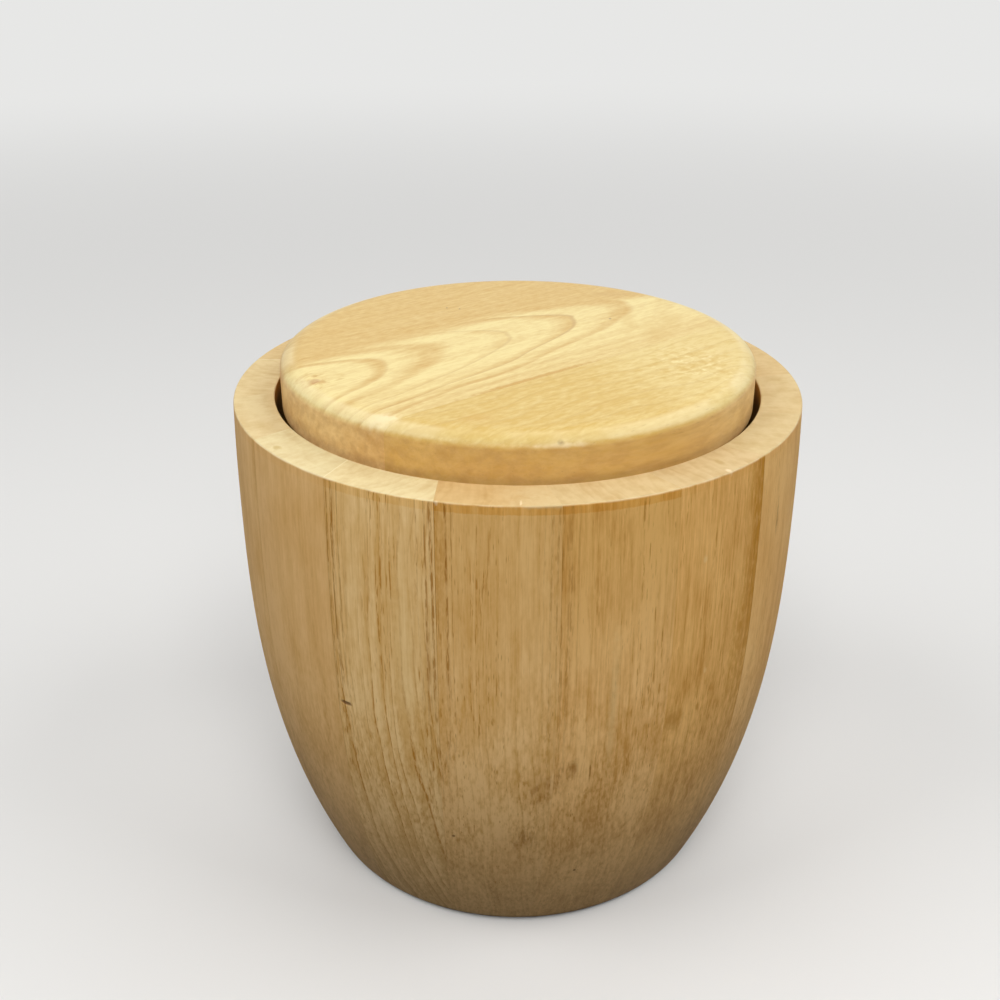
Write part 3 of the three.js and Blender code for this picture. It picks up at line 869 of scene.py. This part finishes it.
def wideBoardMaterial():
    material, tree, shader = startMaterial("lidWideWood")
    spot = objectSpot(tree)
    inMm = stretch(tree, spot, perMm)
    place, _, across, _ = lidPlace(tree, spot)
    fibre = use(tree, fibresAndPores, {"place": place, "seed": arches["seed"]})
    cosine, sine = math.cos(arches["turn"]), math.sin(arches["turn"])
    eyeX, eyeY = arches["eye"]
    figure = mapped(tree, spot, (0, 0, -arches["turn"]),
                    (-(eyeX * cosine + eyeY * sine), eyeX * sine - eyeY * cosine, -lidTop))
    warp = put(tree, "TexNoise", {"Vector": inMm, "Scale": 0.03, "Detail": 1, "Roughness": 0.4})
    warp = vectorCalc(tree, "SUBTRACT", warp.outputs["Color"], (0.5, 0.5, 0.5))
    along, sideways, up = split(tree, vectorCalc(tree, "MULTIPLY_ADD", warp, arches["warp"], figure))
    sideways = scaled(tree, up, arches["slope"], sideways)
    upwards = calc(tree, "MAXIMUM", sideways, 0)
    downwards = calc(tree, "MAXIMUM", times(tree, sideways, -1), 0)
    upper = calc(tree, "POWER", calc(tree, "DIVIDE", upwards, arches["upperWidth"]), arches["upperPower"])
    lower = calc(tree, "POWER", calc(tree, "DIVIDE", downwards, arches["lowerWidth"]), arches["lowerPower"])
    lower = calc(tree, "SMOOTH_MIN", lower, scaled(tree, downwards, *arches["lowerLine"]), arches["lowerSoft"])
    count = scaled(tree, along, 1 / arches["step"], arches["firstCount"])
    count = calc(tree, "ADD", count, calc(tree, "ADD", upper, lower))
    count = calc(tree, "SUBTRACT", count, fade(tree, count, *arches["innerCounts"]))
    rings = use(tree, growthRings, {"count": count, "seed": arches["ringSeed"], "wander": 0.2, "even": 1,
                                    "lineShare": 0.12, "lateStart": stepped(tree, count, arches["start"]),
                                    "latePeak": stepped(tree, count, arches["peak"])})
    # the arches fade into a plain tan field on their upper side
    beyond = calc(tree, "MAXIMUM", calc(tree, "SUBTRACT", along, arches["fieldBend"]), 0)
    field = fade(tree, scaled(tree, beyond, arches["fieldSlope"], sideways), *arches["fieldShows"])
    shown = scaled(tree, field, -0.85, 1)
    tan = times(tree, stepped(tree, count, arches["tan"]), shown, fade(tree, downwards, *arches["tanFades"]))
    line = times(tree, stepped(tree, count, arches["line"]), shown, fade(tree, downwards, *arches["lineFades"]))
    fine = calc(tree, "SUBTRACT", lineNoise(tree, times(tree, count, arches["streaksPerArch"]), 2), 0.45)
    fine = times(tree, fine, shown, fade(tree, downwards, *arches["streaksFade"]))
    # flecks in the eye, a deeper tone towards the joint, and the glue line brown along part of its length
    speckle = noise(tree, stretch(tree, place, (1, 1, 0.45)), 0.4, 3, 0.6)
    extra = times(tree, markMask(tree, inMm, lid["eyeFlecks"]), fade(tree, speckle, 0.48, 0.68))
    extra = scaled(tree, field, 0.6, extra)
    for more in (markMask(tree, place, lid["glueStain"]), fade(tree, across, *arches["jointDeepens"])):
        extra = calc(tree, "ADD", extra, more)
    lidFinish(tree, shader, place, rings, fibre, inMm, {
        "pale": lid["pale"], "deep": lid["deep"], "tan": tan, "line": line, "extra": extra, "streaks": fine,
        "grainy": scaled(tree, field, -0.35, 0.9), "fibre": 0.3, "mottle": 0.8, "side": lid["wideSide"],
        "marks": lid["wideMarks"]})
    return material


def narrowBoardMaterial():
    material, tree, shader = startMaterial("lidNarrowWood")
    spot = objectSpot(tree)
    inMm = stretch(tree, spot, perMm)
    place, along, across, up = lidPlace(tree, spot)
    fibre = use(tree, fibresAndPores, {"place": place, "seed": narrow["seed"]})
    waver = noise(tree, stretch(tree, place, (0.03, 0.03, 0.016)), 1)
    count = scaled(tree, waver, narrow["waver"], scaled(tree, up, narrow["slope"], across))
    count = calc(tree, "DIVIDE", count, narrow["ringWidth"])
    rings = plainRings(tree, count, narrow["ringSeed"])
    # a flecked patch near the right end, towards which the board pales
    patch = markMask(tree, inMm, lid["palePatch"])
    mottle = fade(tree, noise(tree, inMm, 0.28, 2, 0.6), 0.4, 0.68)
    cream = fade(tree, noise(tree, inMm, 0.36, 2, 0.6), 0.48, 0.66, 0, 0.75)
    pale = blend(tree, times(tree, patch, cream), lid["narrowPale"], lid["cream"])
    extra = scaled(tree, times(tree, patch, mottle), 0.6, fade(tree, along, *narrow["endPales"]))
    lidFinish(tree, shader, place, rings, fibre, inMm, {
        "pale": pale, "deep": lid["narrowDeep"], "tan": 0.35, "line": 0.35, "extra": extra, "streaks": 0,
        "grainy": 0.6, "fibre": 0.35, "mottle": 1.8, "side": lid["narrowSide"], "marks": lid["narrowMarks"]})
    return material


def buildLid():
    radius = mouthRadius - lid["gap"]
    plug = mouthRadius - cup["gap"] - 2 * cup["bead"] - lid["plugClearance"]
    under, plugLow, ease = lid["underside"], lid["underside"] - lid["plugDepth"], lid["lowerEase"]
    section = [(0, plugLow), (plug / 2, plugLow)]
    section += eased((plug - lid["plugEase"], plugLow), (plug, plugLow), (plug, plugLow + lid["plugEase"]),
                     lid["plugSteps"])
    section += [(plug, under)]
    section += eased((radius - ease, under), (radius, under), (radius, under + ease), lid["lowerSteps"])
    section += [(radius, (under + lidTop) / 2)]
    for step in range(lid["edgeSteps"] + 1):
        turn = math.radians(90 * step / lid["edgeSteps"])
        section += [(radius - lid["edgeReach"] * (1 - math.cos(turn)),
                     lidTop - lid["edgeDrop"] * (1 - math.sin(turn)))]
    section += [(radius * share, lidTop) for share in (0.6, 0.3, 0)]
    disc = turnPiece("lidDisc", section, lid["turnSteps"])
    across = Vector((-math.sin(lid["grain"]), math.cos(lid["grain"]), 0))
    half = lid["glueLine"] / 2
    for node, side, boardMaterial in (("lid_board_wide", 1, wideBoardMaterial),
                                      ("lid_board_narrow", -1, narrowBoardMaterial)):
        board = copyPiece(disc, node + ".turned")
        cutPiece(board, [(across * (side * half - lidJoint) * mm, across * -side)])
        smoothPiece(board, woodAngle)
        seatPiece(board, "lid", node, boardMaterial())
    bpy.data.objects.remove(disc)
    print("lid: two boards turned")


buildLid()

# Floor, light and camera

black = (0, 0, 0, 1)
studio = dict(
    floorSize=24, nearFloor=0.5, farFloor=2, floorRough=0.8,
    floorSeen=(0.76, 0.755, 0.74, 1), floorBounce=(0.06, 0.059, 0.057, 1),
    roomSeen=(0.8, 0.8, 0.79, 1), roomLight=(0.05, 0.0505, 0.052, 1),
    eye=(0, -0.4366, 0.35), look=(-0.0127, 0.8978, -0.4403), lens=46.8, sensor=36,
)
lampAim = (0, 0, 0.12)
lamps = dict(
    right=dict(place=(1.28, -0.27, 1.43), size=1.1, power=13, aim=lampAim),
    left=dict(place=(-1.24, -0.4, 1.43), size=1.1, power=12.8, aim=lampAim),
    front=dict(place=(0.06, -1.25, 1.5), size=1.1, power=22, aim=lampAim),
    wash=dict(place=(0.4, 3.4, 2.6), size=4.5, power=88, aim=(0.4, 3.4, 0)),
)


def addLamp(name, spec):
    lamp = bpy.data.lights.new(name, "AREA")
    lamp.size, lamp.energy = spec["size"], spec["power"]
    holder = bpy.data.objects.new(name, lamp)
    holder.location = spec["place"]
    holder.rotation_euler = (Vector(spec["aim"]) - holder.location).to_track_quat("-Z", "Y").to_euler()
    bpy.context.collection.objects.link(holder)


def seenDirectly(tree):
    # camera and mirror rays meet the pale room, light bounced between surfaces meets a quieter one
    rays = put(tree, "LightPath").outputs
    mirrored = calc(tree, "MAXIMUM", rays["Is Glossy Ray"], rays["Is Transmission Ray"])
    return calc(tree, "MAXIMUM", rays["Is Camera Ray"], mirrored)


def buildStudio():
    bpy.ops.object.select_all(action="DESELECT")
    bpy.ops.mesh.primitive_plane_add(size=studio["floorSize"], location=(0, 0, 0))
    floor = bpy.context.object
    floor.name = "floor"
    # the floor passes into the room's colour far from the bucket
    material, tree, shader = startMaterial("paleFloor")
    seen = seenDirectly(tree)
    reach = lengthOf(tree, objectSpot(tree))
    far = times(tree, fade(tree, reach, studio["nearFloor"], studio["farFloor"]), seen)
    near = blend(tree, seen, studio["floorBounce"], studio["floorSeen"])
    wire(tree, shader, {"Base Color": blend(tree, far, near, black),
                        "Emission Color": blend(tree, far, black, studio["roomSeen"]), "Emission Strength": 1,
                        "Roughness": studio["floorRough"], "Specular IOR Level": 0})
    floor.data.materials.append(material)
    world = bpy.data.worlds.new("softRoom")
    world.use_nodes = True
    room = world.node_tree
    roomColour = blend(room, seenDirectly(room), studio["roomLight"], studio["roomSeen"])
    wire(room, room.nodes["Background"].inputs, {"Color": roomColour})
    scene.world = world
    for name, spec in lamps.items():
        addLamp(name, spec)
    camera = bpy.data.objects.new("camera", bpy.data.cameras.new("camera"))
    camera.data.lens, camera.data.sensor_width = studio["lens"], studio["sensor"]
    camera.location = studio["eye"]
    camera.rotation_euler = Vector(studio["look"]).to_track_quat("-Z", "Y").to_euler()
    bpy.context.collection.objects.link(camera)
    scene.camera = camera
    scene.view_settings.view_transform = "Standard"
    print("floor, lamps and camera placed")


buildStudio()
